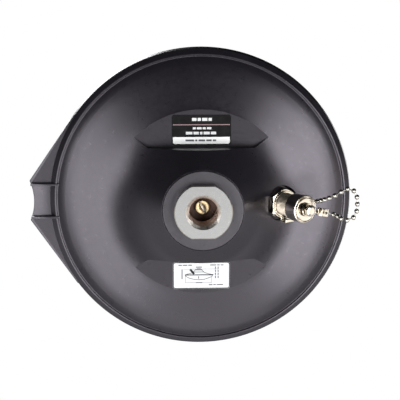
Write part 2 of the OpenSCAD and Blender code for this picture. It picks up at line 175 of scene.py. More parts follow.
def join_parts(parts):
    """Several (verts, faces) as one."""
    verts, faces = [], []
    for more_verts, more_faces in parts:
        base = len(verts)
        verts += more_verts
        faces += [tuple(base + i for i in f) for f in more_faces]
    return verts, faces


def lathe_mesh(outline, count=128):
    """The outline of (r, z) points turned about the z axis. It is closed, or runs from axis to axis."""
    turns = angles(count)
    on_axis = outline[0][0] == 0 and outline[-1][0] == 0
    return bridge([circle(r, z, turns) for r, z in outline], closed=not on_axis)


def lathe(name, outline, count=128, matrix=None, sharp=32):
    return make_object(name, *lathe_mesh(outline, count), matrix=matrix, sharp=sharp)


def prism_mesh(outline, low, high):
    count = len(outline)
    verts = [(x, y, low) for x, y in outline] + [(x, y, high) for x, y in outline]
    faces = [tuple(range(count)), tuple(range(2 * count - 1, count - 1, -1))]
    faces += [(k, (k + 1) % count, count + (k + 1) % count, count + k) for k in range(count)]
    return verts, faces


def prism(name, outline, low, high, matrix=None):
    return make_object(name, *prism_mesh(outline, low, high), matrix=matrix)


def evaluated(obj):
    """Applies the object's modifiers to its mesh."""
    graph = bpy.context.evaluated_depsgraph_get()
    mesh = bpy.data.meshes.new_from_object(obj.evaluated_get(graph))
    obj.modifiers.clear()
    old = obj.data
    obj.data = mesh
    bpy.data.meshes.remove(old)
    return obj


def combine(obj, other, operation):
    """Cuts, joins or intersects obj with other, and removes other."""
    cut = obj.modifiers.new("combine", "BOOLEAN")
    cut.operation = operation
    cut.solver = "MANIFOLD"
    cut.object = other
    evaluated(obj)
    bpy.data.objects.remove(other)
    return obj


def soften(obj, width, segments=2, sharp=32):
    """Rounds the object's sharp edges by width millimetres."""
    bevel = obj.modifiers.new("soften", "BEVEL")
    bevel.width = width * MM
    bevel.segments = segments
    bevel.limit_method = "ANGLE"
    bevel.angle_limit = math.radians(sharp)
    bevel.miter_outer = "MITER_ARC"
    bevel.use_clamp_overlap = True
    evaluated(obj)
    smooth(obj.data, sharp)
    return obj


def piece(obj, body, slot, material, *nodes):
    """Gives a finished piece its material and body, and hides the CAD nodes that it stands for; slot is not
    used.
    """
    obj.data.materials.clear()
    obj.data.materials.append(material)
    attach(obj, body)
    if nodes:
        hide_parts(*nodes)
    return obj


def connector_matrix():
    """Puts local z on the connector's axis, pointing out of the housing (points are in metres)."""
    turn = Matrix.Rotation(math.radians(180 - TILT), 4, "Y")
    return Matrix.Translation(Vector(CONNECTOR_FOOT) * MM) @ turn


ON_CONNECTOR = connector_matrix()


# ---- materials


class Nodes:
    """A small helper that builds one material's node tree around its Principled shader."""

    def __init__(self, name):
        self.material = bpy.data.materials.new(name)
        self.material.use_nodes = True
        self.tree = self.material.node_tree
        self.shader = self.tree.nodes["Principled BSDF"]
        self.place = self.add("ShaderNodeTexCoord").outputs["Object"]

    def add(self, kind, **settings):
        node = self.tree.nodes.new(kind)
        for key, value in settings.items():
            setattr(node, key, value)
        return node

    def link(self, source, target):
        self.tree.links.new(source, target)

    def noise(self, scale, detail=3.0, roughness=0.55, stretch=(1, 1, 1)):
        vector = self.place
        if stretch != (1, 1, 1):
            mapping = self.add("ShaderNodeMapping")
            mapping.inputs["Scale"].default_value = stretch
            self.link(self.place, mapping.inputs["Vector"])
            vector = mapping.outputs["Vector"]
        node = self.add("ShaderNodeTexNoise")
        node.inputs["Scale"].default_value = scale
        node.inputs["Detail"].default_value = detail
        node.inputs["Roughness"].default_value = roughness
        self.link(vector, node.inputs["Vector"])
        return node.outputs["Fac"]

    def spread(self, value, low, high, start=0.3, end=0.7):
        """Maps a value from start..end to low..high."""
        node = self.add("ShaderNodeMapRange")
        for key, number in (("From Min", start), ("From Max", end), ("To Min", low), ("To Max", high)):
            node.inputs[key].default_value = number
        self.link(value, node.inputs["Value"])
        return node.outputs["Result"]

    def blend(self, fac, a, b):
        """A colour between a and b; each is a colour or a socket."""
        node = self.add("ShaderNodeMix", data_type="RGBA")
        self.link(fac, node.inputs["Factor"])
        for socket, value in ((node.inputs[6], a), (node.inputs[7], b)):
            if isinstance(value, (tuple, list)):
                socket.default_value = (*value, 1)
            else:
                self.link(value, socket)
        return node.outputs[2]

    def combine(self, operation, a, b):
        node = self.add("ShaderNodeMath", operation=operation)
        for socket, value in ((node.inputs[0], a), (node.inputs[1], b)):
            if isinstance(value, (int, float)):
                socket.default_value = value
            else:
                self.link(value, socket)
        return node.outputs[0]

    def radius(self, axis_point=None, axis=None):
        """Distance of a point from the z axis, or from a line through axis_point along axis."""
        vector = self.place
        if axis_point is not None:
            moved = self.add("ShaderNodeVectorMath", operation="SUBTRACT")
            self.link(vector, moved.inputs[0])
            moved.inputs[1].default_value = axis_point
            crossed = self.add("ShaderNodeVectorMath", operation="CROSS_PRODUCT")
            self.link(moved.outputs[0], crossed.inputs[0])
            crossed.inputs[1].default_value = axis
            vector = crossed.outputs[0]
        else:
            flat = self.add("ShaderNodeVectorMath", operation="MULTIPLY")
            self.link(vector, flat.inputs[0])
            flat.inputs[1].default_value = (1, 1, 0)
            vector = flat.outputs[0]
        length = self.add("ShaderNodeVectorMath", operation="LENGTH")
        self.link(vector, length.inputs[0])
        return length.outputs["Value"]

    def bump(self, height, strength, distance, before=None):
        node = self.add("ShaderNodeBump")
        node.inputs["Strength"].default_value = strength
        node.inputs["Distance"].default_value = distance
        self.link(height, node.inputs["Height"])
        if before is not None:
            self.link(before, node.inputs["Normal"])
        return node.outputs["Normal"]

    def edges(self, start=0.52, end=0.62):
        """Rises from 0 to 1 on convex edges."""
        pointiness = self.add("ShaderNodeNewGeometry").outputs["Pointiness"]
        return self.spread(pointiness, 0, 1, start, end)

    def set(self, **values):
        for key, value in values.items():
            self.shader.inputs[key.replace("_", " ")].default_value = value

    def into(self, **sockets):
        for key, socket in sockets.items():
            self.link(socket, self.shader.inputs[key.replace("_", " ")])


def plastic(name, colour, light, roughness, grain=2200, grain_depth=0.00003, specular=0.5):
    """Moulded plastic: spark-eroded grain, faint cloudiness, and edges rubbed a little lighter."""
    n = Nodes(name)
    cloud = n.spread(n.noise(45, 4), 0, 0.35)
    tint = n.blend(cloud, colour, light)
    rubbed = n.combine("MULTIPLY", n.edges(), n.spread(n.noise(300, 5), 0.1, 0.6))
    n.into(Base_Color=n.blend(rubbed, tint, light))
    n.into(Roughness=n.spread(n.noise(500, 5), roughness - 0.05, roughness + 0.05))
    n.into(Normal=n.bump(n.noise(grain, 3), 0.35, grain_depth))
    n.set(IOR=1.5, Specular_IOR_Level=specular)
    return n.material


def housing_plastic():
    """Dark moulded plastic, with the boss face painted lighter: painted light for the brighter light that
    falls on the boss face.
    """
    n = Nodes("housing_plastic")
    dark, light, boss_painted_light = (0.0055, 0.0048, 0.0066), (0.010, 0.009, 0.0118), (0.040, 0.038, 0.041)
    tint = n.blend(n.spread(n.noise(45, 4), 0, 0.5), dark, light)
    rubbed = n.combine("MULTIPLY", n.edges(), n.spread(n.noise(300, 5), 0.2, 0.9))
    tint = n.blend(rubbed, tint, light)
    # the boss face's lighter colour is painted light
    on_boss = n.spread(n.radius(), 1, 0, 0.0188, 0.0193)
    tint = n.blend(n.combine("MULTIPLY", on_boss, n.spread(n.noise(90, 5), 0.6, 1.0)), tint, boss_painted_light)
    n.into(Base_Color=tint)
    n.into(Roughness=n.spread(n.noise(500, 5), 0.27, 0.33))
    n.into(Normal=n.bump(n.noise(2200, 3), 0.35, 0.00003))
    n.set(IOR=1.5, Specular_IOR_Level=0.62, Specular_Tint=(1.0, 0.93, 1.05, 1))
    return n.material


def metal(name, colour, dark, roughness, scratches=0.25, grain=900, stretch=(1, 1, 1), spots=0.3):
    """Plated or bare metal: fine scratches and handling marks."""
    n = Nodes(name)
    mark = n.spread(n.noise(140, 6, 0.65), 0, spots, 0.45, 0.75)
    n.into(Base_Color=n.blend(mark, colour, dark))
    n.into(Roughness=n.spread(n.noise(grain, 6, 0.6, stretch), roughness * 0.7, roughness * 1.5))
    n.into(Normal=n.bump(n.noise(grain * 2, 4, 0.6, stretch), scratches, 0.00001))
    n.set(Metallic=1.0)
    return n.material


def turned_metal(name, colour, dark, roughness, ring_pitch, axis_point=None, axis=None, depth=0.1):
    """Metal turned on a lathe: fine rings about its axis over small scratches."""
    n = Nodes(name)
    radius = n.radius(axis_point, axis)
    rings = n.combine("SINE", n.combine("MULTIPLY", radius, 2 * math.pi / ring_pitch), 0)
    wobble = n.combine("MULTIPLY", rings, n.noise(1500, 4))
    mark = n.spread(n.noise(120, 4), 0, 0.12, 0.5, 0.75)
    n.into(Base_Color=n.blend(mark, colour, dark))
    n.into(Roughness=n.spread(n.noise(700, 6), roughness * 0.9, roughness * 1.15))
    grooves = n.bump(wobble, depth, 0.00002)
    n.into(Normal=n.bump(n.noise(2600, 4), 0.03, 0.000005, grooves))
    n.set(Metallic=1.0)
    return n.material


def soft_rubber(name, colour):
    n = Nodes(name)
    n.into(Base_Color=n.blend(n.noise(400, 4), colour, tuple(c * 1.8 for c in colour)))
    n.into(Roughness=n.spread(n.noise(900, 3), 0.55, 0.75))
    n.into(Normal=n.bump(n.noise(1800, 3), 0.3, 0.00002))
    return n.material


def film(name, colour, roughness=0.22, shine=0.5):
    """Laminated label film: nearly flat, with a faint orange peel and dust-dulled patches."""
    n = Nodes(name)
    dusty = tuple(0.92 * c + 0.002 for c in colour)
    n.into(Base_Color=n.blend(n.spread(n.noise(120, 4), 0, 0.4), colour, dusty))
    n.into(Roughness=n.spread(n.noise(300, 4), roughness * 0.8, roughness * 1.3))
    n.into(Normal=n.bump(n.noise(900, 2), 0.06, 0.00001))
    n.set(Specular_IOR_Level=shine)
    return n.material


def board(name):
    """Solder mask with copper runs showing as a lighter green under it."""
    n = Nodes(name)
    cells = n.add("ShaderNodeTexVoronoi", feature="DISTANCE_TO_EDGE", distance="CHEBYCHEV")
    cells.inputs["Scale"].default_value = 260
    n.link(n.place, cells.inputs["Vector"])
    runs = n.spread(cells.outputs["Distance"], 1, 0, 0.04, 0.08)
    n.into(Base_Color=n.blend(runs, (0.012, 0.11, 0.045), (0.04, 0.24, 0.1)))
    n.into(Roughness=n.spread(n.noise(600, 3), 0.25, 0.4))
    n.into(Normal=n.bump(runs, 0.4, 0.00003))
    return n.material


CONNECTOR_AXIS = tuple(ON_CONNECTOR.to_3x3() @ Vector((0, 0, 1)))
CONNECTOR_POINT = tuple(Vector(CONNECTOR_FOOT) * MM)

HOUSING = housing_plastic()
RADOME = plastic("radome_plastic", (0.80, 0.80, 0.775), (0.86, 0.86, 0.84), 0.36, 1500, 0.00002)
STEEL = turned_metal("insert_steel", (0.62, 0.62, 0.615), (0.50, 0.49, 0.475), 0.2, 0.00022, depth=0.01)
# the bore's thread and floor steels are darker copies of the insert's steel: painted shade inside the bore,
# darkest at its floor
BORE_STEEL_PAINTED_SHADE = metal("thread_steel_painted_shade", (0.50, 0.38, 0.32), (0.36, 0.26, 0.21), 0.34, 0.02, 200, spots=0.15)
BEVEL_STEEL = metal("bevel_steel", (0.46, 0.43, 0.39), (0.36, 0.33, 0.30), 0.3, 0.05, 400, spots=0.2)
BORE_FLOOR_PAINTED_SHADE = metal("bore_floor_painted_shade", (0.13, 0.085, 0.07), (0.09, 0.06, 0.05), 0.35, 0.05, 300)
BRASS = metal("screw_brass", (0.72, 0.56, 0.33), (0.50, 0.36, 0.18), 0.4, 0.3, 1200, spots=0.6)
# near-white brass for the slot's floor: a painted highlight
SLOT_PAINTED_HIGHLIGHT = metal("slot_painted_highlight", (0.98, 0.93, 0.82), (0.86, 0.78, 0.62), 0.5, 0.2, 1200, spots=0.2)
NICKEL = metal("nickel_plate", (0.74, 0.69, 0.61), (0.52, 0.47, 0.39), 0.08, 0.05)
THREAD_NICKEL = metal("thread_nickel", (0.62, 0.55, 0.46), (0.46, 0.39, 0.31), 0.32, 0.02)
CAP_NICKEL = turned_metal(
    "cap_nickel", (0.74, 0.69, 0.62), (0.52, 0.47, 0.40), 0.10, 0.0003, CONNECTOR_POINT, CONNECTOR_AXIS, 0.05
)
# a darker copy of the nickel plate for the chain: painted shade for the dark room its balls reflect
CHAIN_NICKEL_PAINTED_SHADE = metal("chain_nickel_painted_shade", (0.44, 0.42, 0.385), (0.26, 0.24, 0.21), 0.08, 0.05)
RUBBER = soft_rubber("seal_rubber", (0.012, 0.012, 0.013))
BLACK_FILM = film("black_label_film", (0.003, 0.0025, 0.003), 0.22, 0.25)
WHITE_FILM = film("white_label_film", (0.58, 0.59, 0.60), 0.3)
# the band's ink is a lighter copy of the white label film: painted light against the shade of the pocket wall
BAND_FILM_PAINTED_LIGHT = film("white_band_ink_painted_light", (0.86, 0.87, 0.87), 0.3)
PINK_INK = film("rose_ink", (0.26, 0.17, 0.18), 0.3)
GREY_INK = film("grey_ink", (0.08, 0.08, 0.09), 0.3)
PALE_INK = film("pale_ink", (0.24, 0.25, 0.27), 0.3)
DARK_INK = film("dark_ink", (0.006, 0.006, 0.008), 0.3, 0.3)
ALUMINIUM = metal("plate_aluminium", (0.72, 0.73, 0.74), (0.55, 0.56, 0.57), 0.35, 0.3, 500, (1, 12, 1))
ZINC = metal("screw_zinc", (0.62, 0.62, 0.60), (0.42, 0.41, 0.38), 0.3)
TINPLATE = metal("tinplate", (0.68, 0.68, 0.67), (0.50, 0.50, 0.49), 0.28, 0.2, 500, (1, 8, 1))
COPPER = metal("patch_copper", (0.75, 0.42, 0.27), (0.50, 0.25, 0.14), 0.3, 0.2, 400, (6, 1, 1))
GOLD = metal("contact_gold", (0.83, 0.62, 0.28), (0.62, 0.43, 0.18), 0.18)
SUBSTRATE = plastic("substrate_laminate", (0.72, 0.68, 0.58), (0.78, 0.75, 0.66), 0.55, 900)
NYLON = plastic("screw_nylon", (0.82, 0.80, 0.74), (0.88, 0.86, 0.80), 0.4)
PTFE = plastic("ptfe", (0.84, 0.83, 0.80), (0.88, 0.87, 0.85), 0.38)
CHIP = plastic("chip_epoxy", (0.02, 0.02, 0.022), (0.05, 0.05, 0.055), 0.5)
JACKET = plastic("cable_jacket", (0.30, 0.14, 0.05), (0.36, 0.18, 0.07), 0.35)
BOARD = board("solder_mask")


# ---- stage, lights and camera


# Brightness of the room by the height of a direction, and by its reach towards +Y
WORLD_BY_HEIGHT = [
    (-1, 0.85), (-0.92, 0.7), (-0.7, 0.12), (-0.3, 0.5), (0, 0.95), (0.15, 0.9), (0.3, 0.1), (1, 0.06),
]
WORLD_BY_SIDE = [(-1, 0.08), (-0.3, 0.08), (-0.05, 0.2), (0.25, 1.0), (1, 1.0)]


def make_camera():
    data = bpy.data.cameras.new("camera")
    data.lens = CAMERA_LENS
    data.sensor_width = 36
    data.clip_start = 0.01
    camera = bpy.data.objects.new("camera", data)
    bpy.context.scene.collection.objects.link(camera)
    forward = CAMERA_DIRECTION
    right = forward.cross(Vector((0, -1, 0))).normalized()
    up = right.cross(forward)
    turn = Matrix((right, up, -forward)).transposed().to_4x4()
    place = (CAMERA_TARGET - forward * CAMERA_DISTANCE) * MM
    camera.matrix_world = Matrix.Translation(place) @ turn
    bpy.context.scene.camera = camera


def area_light(name, place, target, size, power, colour=(1, 1, 1)):
    data = bpy.data.lights.new(name, "AREA")
    data.shape = "RECTANGLE"
    data.size, data.size_y = size
    data.energy = power
    data.color = colour
    light = bpy.data.objects.new(name, data)
    bpy.context.scene.collection.objects.link(light)
    place, target = Vector(place), Vector(target)
    turn = (target - place).to_track_quat("-Z", "Y").to_matrix().to_4x4()
    light.matrix_world = Matrix.Translation(place) @ turn
    light.visible_camera = False
    return light


def only_for_the_camera(obj):
    for ray in ("diffuse", "glossy", "transmission", "volume_scatter", "shadow"):
        setattr(obj, "visible_" + ray, False)


def make_floor():
    """A pale floor that is seen from above and is clear from below, where the camera stands."""
    n = Nodes("floor")
    n.into(Base_Color=n.blend(n.noise(3, 2), (0.80, 0.80, 0.80), (0.83, 0.83, 0.83)))
    n.set(Roughness=0.6)
    clear = n.add("ShaderNodeBsdfTransparent")
    mix = n.add("ShaderNodeMixShader")
    n.link(n.add("ShaderNodeNewGeometry").outputs["Backfacing"], mix.inputs[0])
    n.link(n.shader.outputs[0], mix.inputs[1])
    n.link(clear.outputs[0], mix.inputs[2])
    n.link(mix.outputs[0], n.tree.nodes["Material Output"].inputs["Surface"])
    half = 3000
    corners = [(-half, -half, -0.05), (half, -half, -0.05), (half, half, -0.05), (-half, half, -0.05)]
    floor = make_object("floor", corners, [(0, 1, 2, 3)])
    if floor.data.polygons[0].normal.z < 0:
        floor.data.flip_normals()
    floor.data.materials.append(n.material)
    only_for_the_camera(floor)


def make_backdrop():
    """A plain white surround behind everything."""
    n = Nodes("backdrop")
    glow = n.add("ShaderNodeEmission")
    glow.inputs["Color"].default_value = (1, 1, 1, 1)
    glow.inputs["Strength"].default_value = 1.0
    n.link(glow.outputs[0], n.tree.nodes["Material Output"].inputs["Surface"])
    radius = 6000
    outline = [(radius * math.sin(math.pi * k / 24), -radius * math.cos(math.pi * k / 24)) for k in range(25)]
    outline[0] = (0, -radius)
    outline[-1] = (0, radius)
    backdrop = lathe("backdrop", outline, 48)
    backdrop.data.materials.append(n.material)
    only_for_the_camera(backdrop)


def make_world():
    """A room that is dark behind the camera, towards -Y, and above, and lit round the sides."""
    world = bpy.data.worlds.new("world")
    world.use_nodes = True
    tree = world.node_tree

    def ramp(value, low, high, stops):
        """A level set by a direction's component, from stops of (value, level)."""
        spread = tree.nodes.new("ShaderNodeMapRange")
        spread.inputs["From Min"].default_value = low
        spread.inputs["From Max"].default_value = high
        node = tree.nodes.new("ShaderNodeValToRGB")
        tree.links.new(value, spread.inputs["Value"])
        tree.links.new(spread.outputs["Result"], node.inputs["Fac"])
        elements = node.color_ramp.elements
        for _ in stops[2:]:
            elements.new(0.5)
        for element, (position, level) in zip(elements, stops):
            element.position = (position - low) / (high - low)
            element.color = (level, level, level, 1)
        return node.outputs["Color"]

    split = tree.nodes.new("ShaderNodeSeparateXYZ")
    tree.links.new(tree.nodes.new("ShaderNodeTexCoord").outputs["Generated"], split.inputs[0])
    by_height = ramp(split.outputs["Z"], -1, 1, WORLD_BY_HEIGHT)
    by_side = ramp(split.outputs["Y"], -1, 1, WORLD_BY_SIDE)
    product = tree.nodes.new("ShaderNodeMix")
    product.data_type, product.blend_type = "RGBA", "MULTIPLY"
    product.inputs["Factor"].default_value = 1
    tree.links.new(by_height, product.inputs[6])
    tree.links.new(by_side, product.inputs[7])
    tree.links.new(product.outputs[2], tree.nodes["Background"].inputs["Color"])
    bpy.context.scene.world = world


def make_lights():
    middle = (0, 0, 0.02)
    area_light("left_box", (-0.50, 0.21, -0.83), middle, (1.15, 0.5), 9.5)
    area_light("right_box", (0.55, 0.15, -0.83), middle, (1.05, 0.5), 12)
    area_light("low_fill", (0.05, 0.80, -0.60), middle, (0.8, 0.4), 1.7)
    area_light("side_panel", (0.95, 0.21, -0.42), middle, (0.55, 0.55), 0.95, (1.0, 0.93, 0.82))
    area_light("key_above", (-0.7, -0.8, 1.1), middle, (0.8, 0.8), 22)
    area_light("fill_above", (0.9, 0.3, 0.9), middle, (0.9, 0.9), 8)


# ---- housing and radome

HOUSING_OUTER = [
    (BOSS_R, BOSS_Z, 0.4), (BOSS_R, BOSS_Z + 1, 0.05), (BOSS_R + 0.2, BOSS_Z + 1, 0.05),
    (BOSS_R + 0.3, BOSS_Z + 0.5, 0.1), (KNEE_R, KNEE_Z, 45), (64.5, 28.45, 60), (69.5, 30.3, 25),
    (GROOVE_R, 31.5, 0.5), (72.15, BEAD_Z, 0.25), (72.75, BEAD_Z + 0.05, 0.35),
    (75.3, TAB_Z, 1.8), (RIM_R, PARTING_Z, 0),
]
HOUSING_INNER = [
    (CAVITY_R, PARTING_Z, 0), (CAVITY_R, 34, 0.5), (67.4, 31.7, 2), (36.2, 24.2, 47.5), (19, BOSS_Z + 3, 0.5),
]
POCKET = [(-26.2, 27.9, 1.0), (26.2, 27.9, 1.0), (33.6, 33, 0.8), (32, 52, 0), (-32, 52, 0), (-33.6, 33, 0.8)]


def mirrored(outline, side):
    return [(x, side * y) for x, y in outline]


def pocket_prism(name, side, grow, low, high):
    """The space under a label floor; side is 1 or -1 along Y, and grow moves its walls out."""
    corners = [
        (x + math.copysign(grow, x), y - (grow if y < 40 else 0), r) for x, y, r in POCKET
    ]
    return prism(name, mirrored(rounded(corners), side), low, high)


def make_cavity():
    """The room inside the housing, less the thicker ground behind the labels and the connector."""
    inner = rounded([(0, 60, 0)] + HOUSING_INNER + [(0, BOSS_Z + 3, 0)])[1:]
    cavity = lathe("cavity", [(0, PARTING_Z + 2), (CAVITY_R, PARTING_Z + 2)] + inner, 240)
    for side in (1, -1):
        block = pocket_prism("block", side, 2, 5, POCKET_Z + 2)
        combine(cavity, block, "DIFFERENCE")
    pad = lathe("pad", [(0, -2.5), (SPOTFACE_R + 2, -2.5), (SPOTFACE_R + 2, 30), (0, 30)], 96, ON_CONNECTOR)
    return combine(cavity, pad, "DIFFERENCE")


def tab_outline():
    """The north tab: tangent to the rim, with a hollow between its corners."""
    sagitta = 2
    reach = TAB_REACH
    centre = -reach + sagitta - TAB_NOTCH_R
    half = math.asin(TAB_HALF_W / TAB_NOTCH_R)
    hollow = [
        (centre + TAB_NOTCH_R * math.cos(half * k / 8), TAB_NOTCH_R * math.sin(half * k / 8))
        for k in range(-8, 9)
    ]
    return hollow + [(-62.4, 43.2), (-58, 41), (-70, 0), (-58, -41), (-62.4, -43.2)]


def make_tab():
    tab = prism("tab", tab_outline(), TAB_Z, PARTING_Z)
    soften(tab, 0.35)
    for side in (-1, 1):
        low, high = side * RIB_Y - RIB_W / 2, side * RIB_Y + RIB_W / 2
        rib = prism(
            "rib",
            [(-84.7, low), (-RIB_INNER_R, low), (-RIB_INNER_R, high), (-84.7, high)],
            BEAD_Z - 0.2,
            TAB_Z + 0.5,
        )
        soften(rib, 0.3)
        combine(tab, rib, "UNION")
    return tab


def with_end_points(outline, near=0.7):
    """Adds a point close to both ends of each long straight run, which keeps its shading straight."""
    points = []
    for a, b in zip(outline, outline[1:]):
        points.append(a)
        a, b = Vector(a), Vector(b)
        long = (b - a).length
        if long > 4 * near and a.x > 0 and b.x > 0:
            points += [tuple(a.lerp(b, share)) for share in (near / long, 0.5, 1 - near / long)]
    return points + [outline[-1]]


def sharpen_floors(mesh):
    """Makes every edge of the two flat label floors a sharp one."""
    bm = bmesh.new()
    bm.from_mesh(mesh)
    for edge in bm.edges:
        on_floor = [f for f in edge.link_faces if abs(f.calc_center_median().z - POCKET_Z * MM) < 1e-6]
        if on_floor and edge.calc_face_angle(0) > math.radians(4):
            edge.smooth = False
    bm.to_mesh(mesh)
    bm.free()


def make_housing():
    outline = with_end_points(rounded([(0, BOSS_Z, 0)] + HOUSING_OUTER + [(0, PARTING_Z, 0)], 2))
    housing = lathe("housing", outline, 360)
    combine(housing, make_tab(), "UNION")
    combine(housing, make_cavity(), "DIFFERENCE")
    for side in (1, -1):
        combine(housing, pocket_prism("pocket", side, 0, -1, POCKET_Z), "DIFFERENCE")
    spot = [(0, 0), (SPOTFACE_R - 0.5, 0), (SPOTFACE_R, 0.5), (SPOTFACE_R, 40), (0, 40)]
    combine(housing, lathe("spot", spot, 96, ON_CONNECTOR), "DIFFERENCE")
    hole = [(0, -6), (JACK_R + 0.1, -6), (JACK_R + 0.1, 1), (0, 1)]
    combine(housing, lathe("hole", hole, 64, ON_CONNECTOR), "DIFFERENCE")
    around_insert = [
        ((insert_radius(t, 0) + 0.02) * math.cos(t), (insert_radius(t, 0) + 0.02) * math.sin(t))
        for t in insert_turns()
    ]
    combine(housing, prism("bore", around_insert, 0, 12), "DIFFERENCE")
    seat = [(73.5, PARTING_Z - 1.2), (75, PARTING_Z - 1.2), (75, PARTING_Z + 1), (73.5, PARTING_Z + 1)]
    combine(housing, lathe("seal_seat", seat, 240), "DIFFERENCE")
    for turn in range(45, 360, 90):
        place = Matrix.Rotation(math.radians(turn), 4, "Z") @ Matrix.Translation((60 * MM, 0, 0))
        boss = [(1.5, 29.4), (3.6, 29.4), (3.6, 35.6), (1.5, 35.6)]
        combine(housing, lathe("screw_boss", boss, 48, place), "UNION")
    smooth(housing.data, 30)
    sharpen_floors(housing.data)
    return piece(housing, ROOT, "housing_plastic", HOUSING, "bottom_housing")


def make_radome():
    """A shallow dome on a short upright wall, with a rounded shoulder between them."""
    dome_r, shoulder_r, wall = 163.5, 7, 2.4
    slope = math.asin((RIM_R - shoulder_r) / (dome_r - shoulder_r))
    shoulder_z = TOTAL_H - dome_r + (dome_r - shoulder_r) * math.cos(slope)

    def skin(inset):
        r = dome_r - inset
        turns = [slope * k / 48 for k in range(49)]
        dome = [(r * math.sin(t), TOTAL_H - dome_r + r * math.cos(t)) for t in turns]
        shoulder = [
            (
                RIM_R - shoulder_r + (shoulder_r - inset) * math.sin(slope + (math.pi / 2 - slope) * k / 12),
                shoulder_z + (shoulder_r - inset) * math.cos(slope + (math.pi / 2 - slope) * k / 12),
            )
            for k in range(1, 13)
        ]
        return dome + shoulder

    outside = skin(0) + [(RIM_R, PARTING_Z + 0.3), (RIM_R - 0.3, PARTING_Z)]
    inside = [(RIM_R - wall, PARTING_Z)] + skin(wall)[::-1]
    step_in = (RIM_R - DOME_STEP) / RIM_R
    radome = lathe("radome_shell", [(r * step_in, z) for r, z in outside + inside], 256)
    return piece(radome, ROOT, "radome_plastic", RADOME, "radome")


# ---- insert and centre screw


def thread_depth(phase, crest=0.14, root=0.14):
    """0 at the crest and 1 at the root of a 60 degree thread, with small flats."""
    phase %= 1
    ramp = (1 - crest - root) / 2
    if phase < crest:
        return 0.0
    if phase < crest + ramp:
        return (phase - crest) / ramp
    if phase < crest + ramp + root:
        return 1.0
    return 1 - (phase - crest - ramp - root) / ramp


def insert_radius(turn, bevel):
    """The insert's outline, a circle with two wrench flats, inset by a bevel."""
    flat = (INSERT_FLATS / 2 - bevel) / max(abs(math.sin(turn)), 1e-6)
    return min(INSERT_R - bevel, flat)


def insert_turns():
    """Angles round the insert, with one at each end of both flats."""
    corner = math.asin(INSERT_FLATS / 2 / INSERT_R)
    return sorted(angles(192) + [corner, math.pi - corner, math.pi + corner, 2 * math.pi - corner])


def make_insert():
    turns = insert_turns()
    chamfer_r = 8.42

    def outline(z, bevel):
        return [
            (insert_radius(t, bevel) * math.cos(t), insert_radius(t, bevel) * math.sin(t), z) for t in turns
        ]

    def bore(z):
        ring = []
        for t in turns:
            depth = thread_depth(z / POLE_PITCH - t / (2 * math.pi)) * (POLE_MAJOR_R - POLE_MINOR_R)
            fade = min(1, max(0, (RELIEF_Z - 0.1 - z) / 0.6))
            r = max(POLE_MINOR_R + depth * fade, chamfer_r - z / math.tan(math.radians(30)))
            ring.append((r * math.cos(t), r * math.sin(t), z))
        return ring

    steps = 110
    relief = ((2, POLE_DEPTH), (RELIEF_R, POLE_DEPTH), (RELIEF_R, RELIEF_Z))
    rings = [circle(r, z, turns) for r, z in relief]
    rings += [bore(RELIEF_Z * (1 - k / steps)) for k in range(steps + 1)]
    rings += [outline(0, 0.4), outline(0.4, 0), outline(BOSS_Z + 3, 0)]
    for r, z in ((17, BOSS_Z + 3), (17, BOSS_Z + 5.5), (12, BOSS_Z + 5.5), (12, 18), (2, 18)):
        rings.append(circle(r, z, turns))
    insert = make_object("pole_insert", *bridge(rings, closed=True), sharp=25)
    piece(insert, ROOT, "insert_steel", STEEL, "mount_insert")
    # the bore's faces get the darker steels: painted shade
    for material in (BORE_STEEL_PAINTED_SHADE, BORE_FLOOR_PAINTED_SHADE, BEVEL_STEEL):
        insert.data.materials.append(material)
    chamfer_end = (chamfer_r - POLE_MINOR_R) * math.tan(math.radians(30)) * MM
    for face in insert.data.polygons:
        z = face.center.z
        if face.center.xy.length < chamfer_r * MM and chamfer_end < z < POLE_DEPTH * MM + 1e-6:
            face.material_index = 2 if z > RELIEF_Z * MM - 1e-6 else 1
        elif 1e-6 < z < max(chamfer_end, 0.4 * MM) and abs(face.normal.z) < 0.99:
            face.material_index = 3
    return insert


def make_centre_screw():
    head_z, slot_turn = POLE_DEPTH - 2.5, -28
    outline = rounded([
        (0, head_z, 0), (3.5, head_z, 0.35), (3.5, POLE_DEPTH, 0),
        (2, POLE_DEPTH, 0), (2, 26, 0.3), (0, 26, 0),
    ])
    screw = lathe("slotted_screw", outline, 64)
    half_slot, slot_depth = 0.45, 0.25
    turned = Matrix.Rotation(math.radians(slot_turn), 4, "Z")
    slot = prism("slot", bar(-half_slot, half_slot, -5, 5), head_z - 1, head_z + slot_depth)
    slot.data.transform(turned)
    combine(screw, slot, "DIFFERENCE")
    piece(screw, ROOT, "brass", BRASS, "centre_screw")
    # the slot's floor is painted near white: a painted highlight
    screw.data.materials.append(SLOT_PAINTED_HIGHLIGHT)
    for face in screw.data.polygons:
        across = turned.inverted() @ face.center / MM
        in_slot = abs(across.x) < half_slot + 0.01 and across.xy.length < 3.45
        sunk = head_z + 0.1 < across.z < head_z + 0.4
        face.material_index = 1 if in_slot and sunk else 0
    return screw


# ---- labels


def label_outline(length, width, y, corner):
    return rounded([
        (-length / 2, y - width / 2, corner), (length / 2, y - width / 2, corner),
        (length / 2, y + width / 2, corner), (-length / 2, y + width / 2, corner),
    ], 15)


def bar(x0, x1, y0, y1):
    return [(x0, y0), (x1, y0), (x1, y1), (x0, y1)]


def stroke(a, b, width):
    """A line from a to b as a narrow four-sided strip."""
    a, b = Vector(a), Vector(b)
    side = Vector((a.y - b.y, b.x - a.x)).normalized() * width / 2
    along = (b - a).normalized() * width / 2
    low, high = a - along, b + along
    return [tuple(low + side), tuple(low - side), tuple(high - side), tuple(high + side)]


def polyline(points, width):
    return [stroke(a, b, width) for a, b in zip(points, points[1:])]


